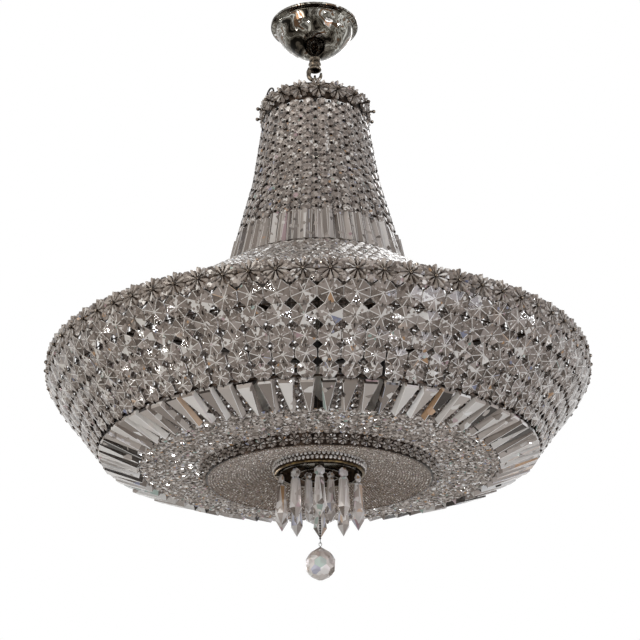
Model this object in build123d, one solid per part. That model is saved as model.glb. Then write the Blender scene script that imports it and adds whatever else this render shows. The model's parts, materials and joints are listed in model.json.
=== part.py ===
from build123d import *
import os
from math import atan2, cos, degrees, pi, radians, sin, tan

os.makedirs("parts", exist_ok=True)

# A basket chandelier of cut crystal on a nickelled frame, hung from a ceiling canopy.
# Millimetres. The origin is the centre of the canopy's rim, in the ceiling plane, and +Z is up.
# A profile is a list of (radius, height) points in the XZ plane. What repeats is turned about Z.
# Rings, spun pieces and wires are drawn with flats, as many as they need to read as round.

# ---- Ceiling mount -----------------------------------------------------------------------
canopy_radius = 66.7
canopy_depth = 59.0
canopy_wall = 1.2
canopy_lip_height = 5.0
canopy_lip_step = 5.0
canopy_sides = 36
neck_radius = 9.0
bar_length = 108.0
bar_width = 19.0
bar_thickness = 2.5
bar_screw_spacing = 88.9
bar_screw_radius = 2.6
pipe_radius = 4.75
pipe_wall = 1.3
locknut_across = 16.0
locknut_height = 4.0
collar_height = 20.0
collar_radius = 8.7
collar_bead_radius = 9.6
collar_lip_radius = 9.9
collar_sides = 20
bore_gap = 0.05

# ---- Hook, link and eye ------------------------------------------------------------------
hook_wire = 3.2
hook_bend = 9.3
hook_shank = 5.5
hook_tip = 3.0
hook_base_height = 2.5
link_wire = 2.0
link_bend = 9.0
eye_wire = 2.0
eye_bend = 8.0
swing_gap = 0.45
eye_cap_radius = 6.5
eye_cap_height = 10.0
eye_cap_sides = 12

# ---- Frame, top to bottom. Radii are to the flats ------------------------------------------
crown_below_eye = 35.7
crown_above_rim = 425.0
crown_radius = 78.5
crown_wall = 2.0
crown_band_above = 9.0
crown_band_below = 18.0
crown_sides = 36
crown_turn = 3.8
hoop_above_rim = 157.0
hoop_radius = 131.0
hoop_width = 6.0
hoop_depth = 5.0
rim_radius = 372.5
rim_wall = 4.0
rim_band_above = 8.0
rim_band_below = 15.0
rim_sides = 72
prism_hoop_section = 3.0
prism_hoop_angles = (75.0, 150.0)
bottom_ring_radius = 162.0
bottom_ring_taper = 8.0
bottom_ring_height = 15.0
bottom_ring_wall = 2.0
bottom_sides = 48
dish_rise = 24.0
dish_wall = 1.6

# ---- Stem, arms and lamps ----------------------------------------------------------------
stem_radius = 3.5
rod_radius = 2.0
stem_foot_below_rim = 6.0
hub_radius = 11.0
hub_height = 5.0
hub_sides = 12
crown_arm_count = 4
crown_arm_width = 8.0
crown_arm_thickness = 3.0
rim_arm_count = 6
rim_arm_width = 10.0
rim_arm_thickness = 3.0
rim_arm_above_rim = 24.0
rim_arm_fall = 22.0
socket_circle = 92.0
socket_radius = 11.0
socket_height = 34.0
socket_sides = 8
bulb_radius = 15.0
bulb_length = 48.0
bulb_neck_radius = 6.5
foot_arm_count = 4
foot_arm_width = 9.0
foot_arm_thickness = 3.0

# ---- Finial ------------------------------------------------------------------------------
finial_sides = 24
plate_overhang = 4.0
plate_thickness = 2.5
collar_ring_radius = 62.0
collar_ring_wall = 1.6
collar_ring_height = 13.0
band_inset = 0.5
band_wall = 3.0
band_height = 2.5
drop_ring_inset = 7.0
drop_ring_wire = 1.0
drop_ring_rise = 0.4
drop_ring_sides = 30
drop_ring_tab = 4.0
drop_ring_tab_thickness = 1.2
inner_ring_radius = 30.0
inner_ring_sides = 18
inner_ring_arms = 3
inner_arm_width = 3.0
finial_nut_across = 13.0
finial_nut_height = 7.0
bail_span = 9.0
bail_wire = 1.6

# ---- Crystal -----------------------------------------------------------------------------
# A gap is what is left between a crystal and its neighbour in the same ring.
tent_count = 48
tent_waist_above_rim = 303.0
tent_waist_radius = 89.5
tent_foot_above_rim = 205.0
tent_foot_radius = 114.5
tent_gaps = [1.2, 0.7, 1.4]
tent_depth = 4.0
tent_prism_gaps = [4.0, 2.5]
tent_prism_depth = 5.0
flare_gap_top = 1.9
flare_width_foot = 13.0
flare_depth = 4.0
flare_foot_above_rim = 3.0
rim_rosette_gap = 3.5
rim_rosette_depth = 7.0
crown_rosette_count = 18
crown_rosette_gap = 0.5
crown_rosette_depth = 6.5
basket_inset = 1.5
basket_steps = [(13.5, 23.0), (18.5, 21.6), (15.0, 19.4), (12.0, 15.8), (12.0, 16.2)]
basket_gaps = [1.3, 2.7, 4.5, 6.9, 8.1]
basket_depths = [6.0, 6.0, 5.5, 5.0, 4.5]
basket_long_rows = 2
prism_share = 0.394
prism_fall = 20.0
prism_gaps = [6.2, 12.4]
prism_depths = [8.0, 5.0]
strand_fall = 2.0
strand_inset = 1.5
strand_gaps = [2.9, 1.5]
strand_depth = 5.0
bottom_rosette_gap = 4.3
bottom_rosette_depth = 5.0
crown_wire_radius = 1.4
crown_wire_height = 15.0
crown_wire_span = 24.0
crown_wire_azimuth = 208.0

# ---- Drops, chain and ball ---------------------------------------------------------------
loop_wire = 0.8
loop_gap = 0.5
loop_drop = 1.5
drop_count = 10
octagon_size = 14.0
octagon_depth = 6.0
spear_length = 56.0
spear_top_width = 9.0
spear_width = 18.0
spear_point = 14.0
spear_thinness = 0.7
small_drop_count = 6
small_octagon_size = 10.0
small_octagon_depth = 5.0
small_spear_length = 45.0
small_spear_top_width = 6.0
small_spear_width = 11.0
small_spear_point = 9.0
chain_length = 96.9
chain_yoke_width = 5.0
chain_yoke_height = 5.6
chain_bead = 3.6
chain_bead_count = 8
ball_radius = 20.4
ball_sides = 12
ball_cap_height = 5.0
ball_cap_radius = 3.0
ball_bail_drop = 1.4


# ---- Ways of making a piece --------------------------------------------------------------
def flat(points):
    """One flat face through the points, in order."""
    return Face(Wire.make_polygon([Vector(*p) for p in points]))


def is_flat(points):
    a, b, c, d = [Vector(*p) for p in points]
    normal = (b - a).cross(c - a)
    return abs(normal.normalized().dot(d - a)) < 1e-7


def skin(sections, closed=False):
    """A solid with flat faces through sections of equally many points. One point makes a tip."""
    faces = []
    pairs = list(zip(sections, sections[1:]))
    if closed:
        pairs.append((sections[-1], sections[0]))
    for low, high in pairs:
        count = max(len(low), len(high))
        for i in range(count):
            j = (i + 1) % count
            if len(low) == 1:
                faces.append(flat([low[0], high[j], high[i]]))
            elif len(high) == 1:
                faces.append(flat([low[i], low[j], high[0]]))
            elif is_flat([low[i], low[j], high[j], high[i]]):
                faces.append(flat([low[i], low[j], high[j], high[i]]))
            else:
                faces.append(flat([low[i], low[j], high[j]]))
                faces.append(flat([low[i], high[j], high[i]]))
    if not closed:
        faces += [flat(end) for end in (sections[0], sections[-1]) if len(end) > 2]
    solid = Solid(Shell(faces))
    return solid if solid.volume > 0 else Solid(solid.wrapped.Reversed())


def around(solid, count, first):
    """Copies of a solid about Z, the first one turned by first degrees."""
    return [Rot(0, 0, first + 360 * k / count) * solid for k in range(count)]


def group(solids):
    return Compound(children=list(solids))


def ring_points(sides, apothem, height, turn=0.0):
    """The corners of a level polygon. Its first flat faces turn degrees from +X."""
    corner = apothem / cos(pi / sides)
    angles = [radians(turn) + 2 * pi * (k + 0.5) / sides for k in range(sides)]
    return [(corner * cos(a), corner * sin(a), height) for a in angles]


def flat_ring(sides, profile, turn=0.0):
    """A ring of flats: a closed profile of (radius to the flat, height) carried round Z."""
    levels = [ring_points(sides, r, z, turn) for r, z in profile]
    return skin(list(zip(*levels)), closed=True)


def band(sides, outer, inner, low, high, turn=0.0):
    return flat_ring(sides, [(outer, low), (outer, high), (inner, high), (inner, low)], turn)


def disc(radius, low, high):
    return Pos(0, 0, low) * extrude(Circle(radius), amount=high - low)


def prism_of(sides, apothem, low, high, turn=0.0):
    return skin([ring_points(sides, apothem, low, turn), ring_points(sides, apothem, high, turn)])


def tube(outer, inner, low, high):
    return disc(outer, low, high) - disc(inner, low - 1, high + 1)


def unit(r, z):
    length = (r * r + z * z) ** 0.5
    return r / length, z / length


def length_of(start, end):
    return ((end[0] - start[0]) ** 2 + (end[1] - start[1]) ** 2) ** 0.5


def width_at(radius, count, gap):
    """The width that leaves a gap between neighbours, of count round a ring of that radius."""
    return 2 * radius * tan(pi / count) - gap


def mitres(profile, side, first=None, last=None):
    """Directions that halve each corner of a profile, on its left (+1) or right (-1) side."""
    runs = [unit(b[0] - a[0], b[1] - a[1]) for a, b in zip(profile, profile[1:])]
    normals = [(-z * side, r * side) for r, z in runs]
    halves = [unit(a[0] + b[0], a[1] + b[1]) for a, b in zip(normals, normals[1:])]
    return [first or normals[0]] + halves + [last or normals[-1]]


def ridge_bar(profile, widths, depths, side, first=None, last=None):
    """A bar of three-sided section along a profile: a flat back on it, and a ridge that stands off."""
    sections = []
    for (r, z), width, depth, (dr, dz) in zip(profile, widths, depths, mitres(profile, side, first, last)):
        sections.append([(r, -width / 2, z), (r, width / 2, z), (r + dr * depth, 0, z + dz * depth)])
    return skin(sections)


def crystal_outline(length, width, long):
    """A crystal's outline as (along, across): a long hexagon, or a square on its corner."""
    if long:
        side = [(0, width / 4), (length / 2, width / 2), (length, width / 4)]
        return side + [(along, -across) for along, across in reversed(side)]
    return [(0, 0), (length / 2, width / 2), (length, 0), (length / 2, -width / 2)]


def cut_crystal(start, end, width, depth, long, back=0.0):
    """A cut crystal from one profile point to the next, with a point in front and one behind."""
    dr, dz = unit(end[0] - start[0], end[1] - start[1])
    length = length_of(start, end)
    outline = [(start[0] + dr * along, across, start[1] + dz * along)
               for along, across in crystal_outline(length, width, long)]
    middle = (start[0] + dr * length / 2, start[1] + dz * length / 2)
    front = (middle[0] - dz * depth, 0, middle[1] + dr * depth)
    behind = (middle[0] + dz * back, 0, middle[1] - dr * back)
    return skin([[front], outline, [behind]] if back else [[front], outline])


def rosette(sides, width, depth):
    """A rosette lying on its flat back, with its point along +Z."""
    return skin([ring_points(sides, width / 2, 0), [(0, 0, depth)]])


def seat(r, z, lean=0.0):
    """A place on a ring's outer flat in the XZ plane: +Z there looks outwards, lean degrees down."""
    return Location((r, 0, z), (0, 90 + lean, 0))


def bent_wire(path, radius, sides, closed=False):
    """A wire of flats along points in the XZ plane."""
    sections = []
    last = len(path) - 1
    for i, (x, z) in enumerate(path):
        before = path[i - 1] if closed or i > 0 else path[i]
        after = path[0] if i == last and closed else path[min(i + 1, last)]
        tx, tz = unit(after[0] - before[0], after[1] - before[1])
        corners = [(x - tz * across, y, z + tx * across) for across, y, _ in ring_points(sides, radius, 0)]
        sections.append(corners)
    return skin(sections, closed)


def wire_eye(bend, wire, path_sides, wire_sides):
    """A round eye of wire about Y, centred on the origin."""
    path = [(x, y) for x, y, _ in ring_points(path_sides, bend, 0)]
    return bent_wire(path, wire, wire_sides, closed=True)


def wire_loop(half_width, top, foot, wire):
    """A square-cornered loop of wire in the YZ plane, round the X axis."""
    outer = Box(wire, 2 * half_width, top - foot)
    inner = Box(2 * wire, 2 * (half_width - wire), top - foot - 2 * wire)
    return (Pos(0, 0, (top + foot) / 2) * (outer - inner)).solid()


def hexagon_nut(across, low, high, bore):
    return prism_of(6, across / 2, low, high) - prism_of(hub_sides, bore, low - 1, high + 1)


def hub(top, height, bore):
    """A round hub under the level top, bored for the stem."""
    blank = prism_of(hub_sides, hub_radius, top - height, top)
    return blank - disc(bore + bore_gap, top - height - 1, top + 1)


def flat_arm(start, end, width, thickness):
    """A flat arm between two profile points on its top face, with upright ends."""
    ends = []
    for r, z in (start, end):
        foot = z - thickness
        ends.append([(r, -width / 2, z), (r, width / 2, z), (r, width / 2, foot), (r, -width / 2, foot)])
    return skin(ends)


# ---- Levels, from the ceiling down ---------------------------------------------------------
canopy_foot = -canopy_depth
collar_foot = canopy_foot - collar_height
hook_base_foot = collar_foot - hook_base_height
hook_centre = hook_base_foot - hook_shank
hook_bottom = hook_centre - hook_bend
link_top = hook_bottom + hook_wire + link_wire + swing_gap
link_centre = link_top - link_bend
link_bottom = link_centre - link_bend
eye_top = link_bottom + link_wire + eye_wire + swing_gap
eye_centre = eye_top - eye_bend
eye_bottom = eye_centre - eye_bend
stem_top = eye_bottom - eye_cap_height
crown_z = eye_bottom - crown_below_eye
rim_z = crown_z - crown_above_rim
rim_foot = rim_z - rim_band_below
rim_turn = 360 / rim_sides / 2
crown_foot = crown_z - crown_band_below

# ---- Ceiling mount -----------------------------------------------------------------------
# The canopy is a sheet shell: an upright lip, a step, and a bowl in three slopes down to its neck.
bowl_radius = canopy_radius - canopy_lip_step
bowl_top = -canopy_lip_height - canopy_lip_step / 2
bowl_slopes = [(1.0, 0.0), (0.84, 0.34), (0.58, 0.69)]
bowl = [(bowl_radius * across, bowl_top + (canopy_foot - bowl_top) * down) for across, down in bowl_slopes]
pipe_hole = pipe_radius + bore_gap
outer_wall = [(canopy_radius, 0), (canopy_radius, -canopy_lip_height)] + bowl + [(neck_radius, canopy_foot)]
inner_bowl = [(r - canopy_wall * 0.6, z + canopy_wall) for r, z in reversed(bowl)]
inner_wall = [(pipe_hole, canopy_foot), (pipe_hole, canopy_foot + canopy_wall)] + inner_bowl
inner_wall += [(canopy_radius - canopy_wall, -canopy_lip_height), (canopy_radius - canopy_wall, 0)]
canopy = flat_ring(canopy_sides, outer_wall + inner_wall)

bar_blank = Pos(0, 0, -bar_thickness / 2) * Box(bar_length, bar_width, bar_thickness)
bar_holes = [Pos(x, 0, -bar_thickness / 2) * Cylinder(bar_screw_radius, 2 * bar_thickness)
             for x in (-bar_screw_spacing / 2, bar_screw_spacing / 2)]
mounting_bar = bar_blank - bar_holes - disc(pipe_hole, -2 * bar_thickness, bar_thickness)

pipe_foot = canopy_foot - collar_height / 2
nipple = tube(pipe_radius, pipe_radius - pipe_wall, pipe_foot, 0)
nipple_locknut = hexagon_nut(locknut_across, -bar_thickness - locknut_height, -bar_thickness, pipe_hole)

# The collar has a bead and a flared lip. It clamps the canopy up to the nipple.
collar_steps = [(collar_radius, 0.35), (collar_bead_radius, 0.5), (collar_radius, 0.65),
                (collar_lip_radius, 1.0)]
collar_side = [(r, canopy_foot - collar_height * down) for r, down in collar_steps]
collar_levels = [ring_points(collar_sides, r, z) for r, z in [(neck_radius, canopy_foot)] + collar_side]
canopy_collar = skin(collar_levels) - prism_of(collar_sides, pipe_hole, pipe_foot, canopy_foot + 1)

# The hook is bent from wire: down its shank, round the bend and up to the tip.
bend_angles = [pi * k / 8 for k in range(9)]
hook_path = [(-hook_bend, hook_base_foot + hook_base_height / 2)]
hook_path += [(-hook_bend * cos(a), hook_centre - hook_bend * sin(a)) for a in bend_angles]
hook_path += [(hook_bend, hook_centre + hook_tip)]
hook_base = prism_of(16, hook_bend + hook_wire, hook_base_foot, collar_foot)
ceiling_hook = (hook_base + bent_wire(hook_path, hook_wire, 8)).solid()

# The link stands across the hook, and the eye across the link, so the two swings cross.
hanging_link = Pos(0, 0, link_centre) * Rot(0, 0, 90) * wire_eye(link_bend, link_wire, 16, 6)
eye_cap = skin([
    ring_points(eye_cap_sides, stem_radius + 1, stem_top),
    ring_points(eye_cap_sides, eye_cap_radius, stem_top + eye_cap_height * 0.6),
    ring_points(eye_cap_sides, eye_cap_radius * 0.7, eye_bottom + eye_wire / 2)])
top_eye = (eye_cap + Pos(0, 0, eye_centre) * wire_eye(eye_bend, eye_wire, 12, 6)).solid()

# ---- Crown, tent and flare ---------------------------------------------------------------
crown_ring = band(crown_sides, crown_radius, crown_radius - crown_wall, crown_foot,
                  crown_z + crown_band_above, crown_turn)
crown_rosette_width = width_at(crown_radius, crown_rosette_count, crown_rosette_gap)
crown_rosette = seat(crown_radius, crown_z) * rosette(8, crown_rosette_width, crown_rosette_depth)
crown_rosettes = group(around(crown_rosette, crown_rosette_count, crown_turn - 90))

# A bent wire stands on the crown ring's inner edge, for tying up the chandelier while it is hung.
wire_foot = crown_z + crown_band_above
wire_shoulder = wire_foot + crown_wire_height - crown_wire_span / 4
wire_path = [(-crown_wire_span / 2, wire_foot), (-crown_wire_span / 2, wire_shoulder),
             (-crown_wire_span / 4, wire_foot + crown_wire_height),
             (crown_wire_span / 4, wire_foot + crown_wire_height),
             (crown_wire_span / 2, wire_shoulder), (crown_wire_span / 2, wire_foot)]
wire_stand = ((crown_radius - crown_wall) ** 2 - (crown_wire_span / 2) ** 2) ** 0.5
crown_wire = (Rot(0, 0, crown_wire_azimuth) * Pos(wire_stand, 0, 0) * Rot(0, 0, 90)
              * bent_wire(wire_path, crown_wire_radius, 6))

tent_line = [(crown_radius - tent_depth, crown_foot), (tent_waist_radius, rim_z + tent_waist_above_rim),
             (tent_foot_radius, rim_z + tent_foot_above_rim)]
tent_widths = [width_at(r, tent_count, gap) for (r, _), gap in zip(tent_line, tent_gaps)]
tent_strand = ridge_bar(tent_line, tent_widths, [tent_depth] * 3, 1, first=(1, 0))
tent_strands = group(around(tent_strand, tent_count, 0))

hoop_z = rim_z + hoop_above_rim
hoop_inner = hoop_radius - hoop_width
tent_prism_line = [tent_line[-1], (hoop_radius - tent_prism_depth - bore_gap, hoop_z)]
tent_prism_widths = [width_at(r, tent_count, gap) for (r, _), gap in zip(tent_prism_line, tent_prism_gaps)]
tent_prism = ridge_bar(tent_prism_line, tent_prism_widths, [tent_depth, tent_prism_depth], 1,
                       first=mitres(tent_line, 1)[-1], last=(1, 0))
tent_prisms = group(around(tent_prism, tent_count, 0))
hoop_foot = hoop_z - hoop_depth
tent_hoop = flat_ring(rim_sides, [(hoop_inner, hoop_z), (hoop_radius, hoop_z), (hoop_radius, hoop_foot)],
                      rim_turn)

rim_inner = rim_radius - rim_wall
flare_line = [(hoop_radius, hoop_foot), (rim_inner, rim_z + flare_foot_above_rim)]
flare_widths = [width_at(hoop_radius, rim_sides, flare_gap_top), flare_width_foot]
flare_strand = ridge_bar(flare_line, flare_widths, [flare_depth] * 2, 1, first=(0, 1), last=(0, 1))
flare_strands = group(around(flare_strand, rim_sides, rim_turn))

# ---- Rim and basket ----------------------------------------------------------------------
rim_ring = band(rim_sides, rim_radius, rim_inner, rim_foot, rim_z + rim_band_above, rim_turn)
rim_rosette_width = width_at(rim_radius, rim_sides, rim_rosette_gap)
rim_rosette = seat(rim_radius, rim_z) * rosette(8, rim_rosette_width, rim_rosette_depth)
rim_rosettes = group(around(rim_rosette, rim_sides, rim_turn))

# Each row of crystals is pinned to the one above, tip to tip, and turns further in.
basket_line = [(rim_radius - basket_inset, rim_foot)]
for inward, down in basket_steps:
    basket_line.append((basket_line[-1][0] - inward, basket_line[-1][1] - down))
basket_rows = {}
for row, (start, end) in enumerate(zip(basket_line, basket_line[1:])):
    width = width_at((start[0] + end[0]) / 2, rim_sides, basket_gaps[row])
    crystal = cut_crystal(end, start, width, -basket_depths[row], row < basket_long_rows)
    basket_rows[f"basket_row_{row + 1}"] = group(around(crystal, rim_sides, rim_turn))

# A hoop behind the last row's tips carries the long prisms.
prism_head = basket_line[-1]
strand_foot_radius = bottom_ring_radius - strand_inset
prism_reach = (prism_head[0] - strand_foot_radius) * prism_share
prism_end = (prism_head[0] - prism_reach, prism_head[1] - prism_fall)
hoop_corners = [(prism_head[0] + prism_hoop_section * cos(radians(a)),
                 prism_head[1] + prism_hoop_section * sin(radians(a))) for a in prism_hoop_angles]
prism_hoop = flat_ring(rim_sides, [prism_head] + hoop_corners, rim_turn)
prism_line = [prism_head, prism_end]
prism_widths = [width_at(r, rim_sides, gap) for (r, _), gap in zip(prism_line, prism_gaps)]
basket_prisms = group(around(ridge_bar(prism_line, prism_widths, prism_depths, 1), rim_sides, rim_turn))

bottom_ring_top = prism_end[1] - strand_fall
bottom_ring_foot = bottom_ring_top - bottom_ring_height
strand_line = [prism_end, (strand_foot_radius, bottom_ring_top)]
strand_widths = [width_at(r, rim_sides, gap) for (r, _), gap in zip(strand_line, strand_gaps)]
lower_strand = ridge_bar(strand_line, strand_widths, [strand_depth] * 2, -1, first=(0, 1), last=(0, 1))
lower_strands = group(around(lower_strand, rim_sides, rim_turn))

ring_foot_radius = bottom_ring_radius - bottom_ring_taper
bottom_ring = flat_ring(bottom_sides, [
    (bottom_ring_radius, bottom_ring_top), (bottom_ring_radius - bottom_ring_wall, bottom_ring_top),
    (ring_foot_radius - bottom_ring_wall, bottom_ring_foot), (ring_foot_radius, bottom_ring_foot)])
ring_lean = degrees(atan2(bottom_ring_taper, bottom_ring_height))
ring_middle = (bottom_ring_radius - bottom_ring_taper / 2, bottom_ring_top - bottom_ring_height / 2)
bottom_rosette_width = width_at(ring_middle[0], bottom_sides, bottom_rosette_gap)
bottom_rosette = seat(*ring_middle, ring_lean) * rosette(6, bottom_rosette_width, bottom_rosette_depth)
bottom_rosettes = group(around(bottom_rosette, bottom_sides, 0))

# ---- Finial ------------------------------------------------------------------------------
# A shallow dish closes the bottom ring and rises to a plate on the rod, with a collar under it.
plate_foot = bottom_ring_foot + dish_rise
plate_top = plate_foot + plate_thickness
dish_rim = ring_foot_radius - bottom_ring_wall
dish_inner = collar_ring_radius / cos(pi / finial_sides) + bore_gap
dish = flat_ring(bottom_sides, [
    (dish_rim, bottom_ring_foot), (dish_rim, bottom_ring_foot + dish_wall), (dish_inner, plate_foot),
    (dish_inner, plate_foot - dish_wall)])

plate_radius = collar_ring_radius + plate_overhang
plate_blank = prism_of(finial_sides, plate_radius, plate_foot, plate_top)
finial_plate = plate_blank - disc(rod_radius + bore_gap, plate_foot - 1, plate_top + 1)
collar_ring_foot = plate_foot - collar_ring_height
finial_collar = band(finial_sides, collar_ring_radius, collar_ring_radius - collar_ring_wall,
                     collar_ring_foot, plate_foot)
band_radius = collar_ring_radius - band_inset
band_foot = collar_ring_foot - band_height
finial_band = band(finial_sides, band_radius, band_radius - band_wall, band_foot, collar_ring_foot)

nut_foot = plate_foot - finial_nut_height
finial_nut = hexagon_nut(finial_nut_across, nut_foot, plate_foot, rod_radius + bore_gap)

# The rod is in two lengths. The lower one runs through the plate and is held by the nut.
stem_foot = rim_z - stem_foot_below_rim
stem_tube = disc(stem_radius, stem_foot, stem_top)
stem_rod = disc(rod_radius, nut_foot, stem_foot)

# ---- Arms --------------------------------------------------------------------------------
arm_root = hub_radius * 0.9
crown_arm_top = crown_foot + crown_band_below / 2
crown_arm = flat_arm((arm_root, crown_arm_top), (crown_radius - crown_wall, crown_arm_top), crown_arm_width,
                     crown_arm_thickness)
crown_hub = hub(crown_arm_top, hub_height, stem_radius)
crown_spider = (crown_hub + around(crown_arm, crown_arm_count, crown_turn)).solid()

rim_arm_top = rim_z + rim_arm_above_rim
rim_arm = flat_arm((arm_root, rim_arm_top), (rim_inner, rim_arm_top - rim_arm_fall), rim_arm_width,
                   rim_arm_thickness)
lamp_turn = 30 + rim_turn
rim_spider = (hub(rim_arm_top, hub_height, stem_radius) + around(rim_arm, rim_arm_count, lamp_turn)).solid()

# Each lower arm lies on the plate, and its leg turns down and stands against the bottom ring.
foot_arm_top = plate_top + foot_arm_thickness
leg_foot = ring_middle[1]
leg_foot_radius = ring_middle[0] - bottom_ring_wall
leg_top_radius = dish_rim + (foot_arm_top - bottom_ring_foot) * bottom_ring_taper / bottom_ring_height
arm_outline = [(arm_root, plate_top), (leg_foot_radius - 2 * foot_arm_thickness, plate_top),
               (leg_foot_radius - foot_arm_thickness, leg_foot), (leg_foot_radius, leg_foot),
               (bottom_ring_radius - bottom_ring_wall, bottom_ring_top),
               (bottom_ring_radius - bottom_ring_wall, foot_arm_top), (arm_root, foot_arm_top)]
foot_arm = skin([[(r, y, z) for r, z in arm_outline] for y in (-foot_arm_width / 2, foot_arm_width / 2)])
foot_hub = hub(foot_arm_top, foot_arm_thickness, rod_radius)
foot_spider = (foot_hub + around(foot_arm, foot_arm_count, 45)).solid()

# ---- Lamps -------------------------------------------------------------------------------
# Sockets hang under the rim arms, cut to the arms' slope, and a candle bulb is in each.
arm_slope = rim_arm_fall / (rim_inner - arm_root)


def under_arm(r):
    return rim_arm_top - rim_arm_thickness - arm_slope * (r - arm_root)


def upright(apothem, height):
    return [(socket_circle + x, y, height) for x, y, z in ring_points(socket_sides, apothem, 0)]


socket_foot = under_arm(socket_circle) - socket_height
socket_top = [(x, y, under_arm(x)) for x, y, z in upright(socket_radius, 0)]
socket = skin([upright(socket_radius, socket_foot), socket_top])
lamp_sockets = group(around(socket, rim_arm_count, lamp_turn))
bulb = skin([upright(bulb_neck_radius, socket_foot), upright(bulb_radius, socket_foot - bulb_length * 0.35),
             [(socket_circle, 0, socket_foot - bulb_length)]])
lamp_bulbs = group(around(bulb, rim_arm_count, lamp_turn))

# ---- Drop rings --------------------------------------------------------------------------
drop_level = band_foot + drop_ring_rise
ring_top = drop_level + drop_ring_wire
ring_bottom = drop_level - drop_ring_wire
drop_ring_radius = band_radius - drop_ring_inset


def wire_ring(radius, sides, turn=0.0):
    return band(sides, radius + drop_ring_wire, radius - drop_ring_wire, ring_bottom, ring_top, turn)


# Tabs between the drops reach out under the band, and the ring is soldered to them.
ring_tab = flat_arm((drop_ring_radius, band_foot), (band_radius - band_inset, band_foot), drop_ring_tab,
                    drop_ring_tab_thickness)
drop_turn = 90 + 180 / drop_count
drop_wire = wire_ring(drop_ring_radius, drop_ring_sides, 90)
drop_ring = (drop_wire + around(ring_tab, drop_count // 2, drop_turn)).solid()

# The inner ring has a hub that is clamped under the nut, and the chain's bail is bent from it.
hub_foot = nut_foot - bail_wire
inner_hub_radius = finial_nut_across / 2
inner_arm = flat_arm((inner_hub_radius / 2, nut_foot), (inner_ring_radius, ring_top), inner_arm_width,
                     bail_wire)
bail_foot = drop_level - bail_wire / 2
bail_outer = Pos(0, 0, (nut_foot + bail_foot) / 2) * Box(bail_span, bail_wire, nut_foot - bail_foot)
bail_inner = Pos(0, 0, (hub_foot + drop_level + bail_wire / 2) / 2) * Box(
    bail_span - 2 * bail_wire, 2 * bail_wire, hub_foot - drop_level - bail_wire / 2)
inner_hub = prism_of(6, inner_hub_radius, hub_foot, nut_foot) + (bail_outer - bail_inner)
inner_drop_ring = wire_ring(inner_ring_radius, inner_ring_sides) + inner_hub
inner_drop_ring = (inner_drop_ring + around(inner_arm, inner_ring_arms, 30)).solid()

# ---- Drops -------------------------------------------------------------------------------
# Each drop is a wire loop round its ring, a small crystal and a pointed spear, hung plumb.
loop_reach = drop_ring_wire * 2 ** 0.5 + loop_gap + loop_wire
loop_foot = -loop_reach - loop_drop


def spear(top, length, top_width, width, point):
    """A six-sided spear that swells downwards and ends in a point."""
    shoulder = top - length + point
    levels = [ring_points(6, top_width / 2, top, 30), ring_points(6, width / 2, shoulder, 30)]
    thinned = [[(x * spear_thinness, y, z) for x, y, z in level] for level in levels]
    return skin(thinned + [[(0, 0, top - length)]])


def drop(ring_radius, size, depth, length, top_width, width, point):
    loop = Rot(0, 0, 90) * wire_loop(loop_reach, loop_reach, loop_foot, loop_wire)
    crystal = cut_crystal((0, loop_foot), (0, loop_foot - size), size, depth / 2, True, depth / 2)
    tip = spear(loop_foot - size, length, top_width, width, point)
    return [Pos(ring_radius, 0, drop_level) * piece for piece in (loop, crystal, tip)]


large_drop = drop(drop_ring_radius, octagon_size, octagon_depth, spear_length, spear_top_width,
                  spear_width, spear_point)
small_drop = drop(inner_ring_radius, small_octagon_size, small_octagon_depth, small_spear_length,
                  small_spear_top_width, small_spear_width, small_spear_point)
drops = {}
for k in range(drop_count):
    turned = Rot(0, 0, 90 + 360 * k / drop_count)
    drops[f"drop_{k + 1:02d}"] = group(turned * piece for piece in large_drop)
for k in range(small_drop_count):
    turned = Rot(0, 0, 360 * k / small_drop_count)
    drops[f"small_drop_{k + 1}"] = group(turned * piece for piece in small_drop)

# ---- Chain and ball ----------------------------------------------------------------------
# The chain is a rod of beads with a loop round the bail, and a yoke whose foot bar runs along Y.
chain_reach = bail_wire / 2 ** 0.5 + loop_gap + loop_wire
yoke_bar = drop_level - chain_length
yoke_foot = yoke_bar - loop_wire / 2
yoke_top = yoke_foot + chain_yoke_height
chain_top = drop_level - chain_reach
bead_pitch = (chain_top - yoke_top) / (chain_bead_count + 1)
top_loop = Pos(0, 0, drop_level) * wire_loop(chain_reach, chain_reach, -chain_reach, loop_wire)
yoke = wire_loop(chain_yoke_width / 2, yoke_top, yoke_foot, loop_wire)
chain_rod = Pos(0, 0, (chain_top + yoke_top) / 2) * Box(loop_wire, loop_wire, chain_top - yoke_top)
chain_line = []
for k in range(chain_bead_count):
    bead_z = chain_top - bead_pitch * (k + 1)
    waist = ring_points(4, chain_bead / 2, bead_z)
    chain_line.append(skin([[(0, 0, bead_z - chain_bead)], waist, [(0, 0, bead_z + chain_bead)]]))
pendant_chain = (chain_rod + top_loop + yoke + chain_line).solid()

# The ball is cut in level rows of facets. Its cap ends in a loop that passes round the yoke's bar.
ball_reach = loop_wire / 2 ** 0.5 + loop_gap + loop_wire
ball_loop_foot = -ball_reach - ball_bail_drop
ball_loop = Pos(0, 0, yoke_bar) * Rot(0, 0, 90) * wire_loop(ball_reach, ball_reach, ball_loop_foot, loop_wire)
ball_bail_foot = yoke_bar + ball_loop_foot
ball_centre = ball_bail_foot - ball_cap_height - ball_radius
latitudes = [radians(a) for a in (-54, -18, 18, 54)]
ball_rows = [ring_points(ball_sides, ball_radius * cos(a), ball_centre + ball_radius * sin(a))
             for a in latitudes]
ball = skin([[(0, 0, ball_centre - ball_radius)]] + ball_rows + [[(0, 0, ball_centre + ball_radius)]])
cap = skin([[(0, 0, ball_centre + ball_radius)],
            ring_points(6, ball_cap_radius, ball_bail_foot - ball_cap_height / 3),
            ring_points(6, ball_cap_radius / 2, ball_bail_foot)])
crystal_ball = group([ball, cap, ball_loop])

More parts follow.
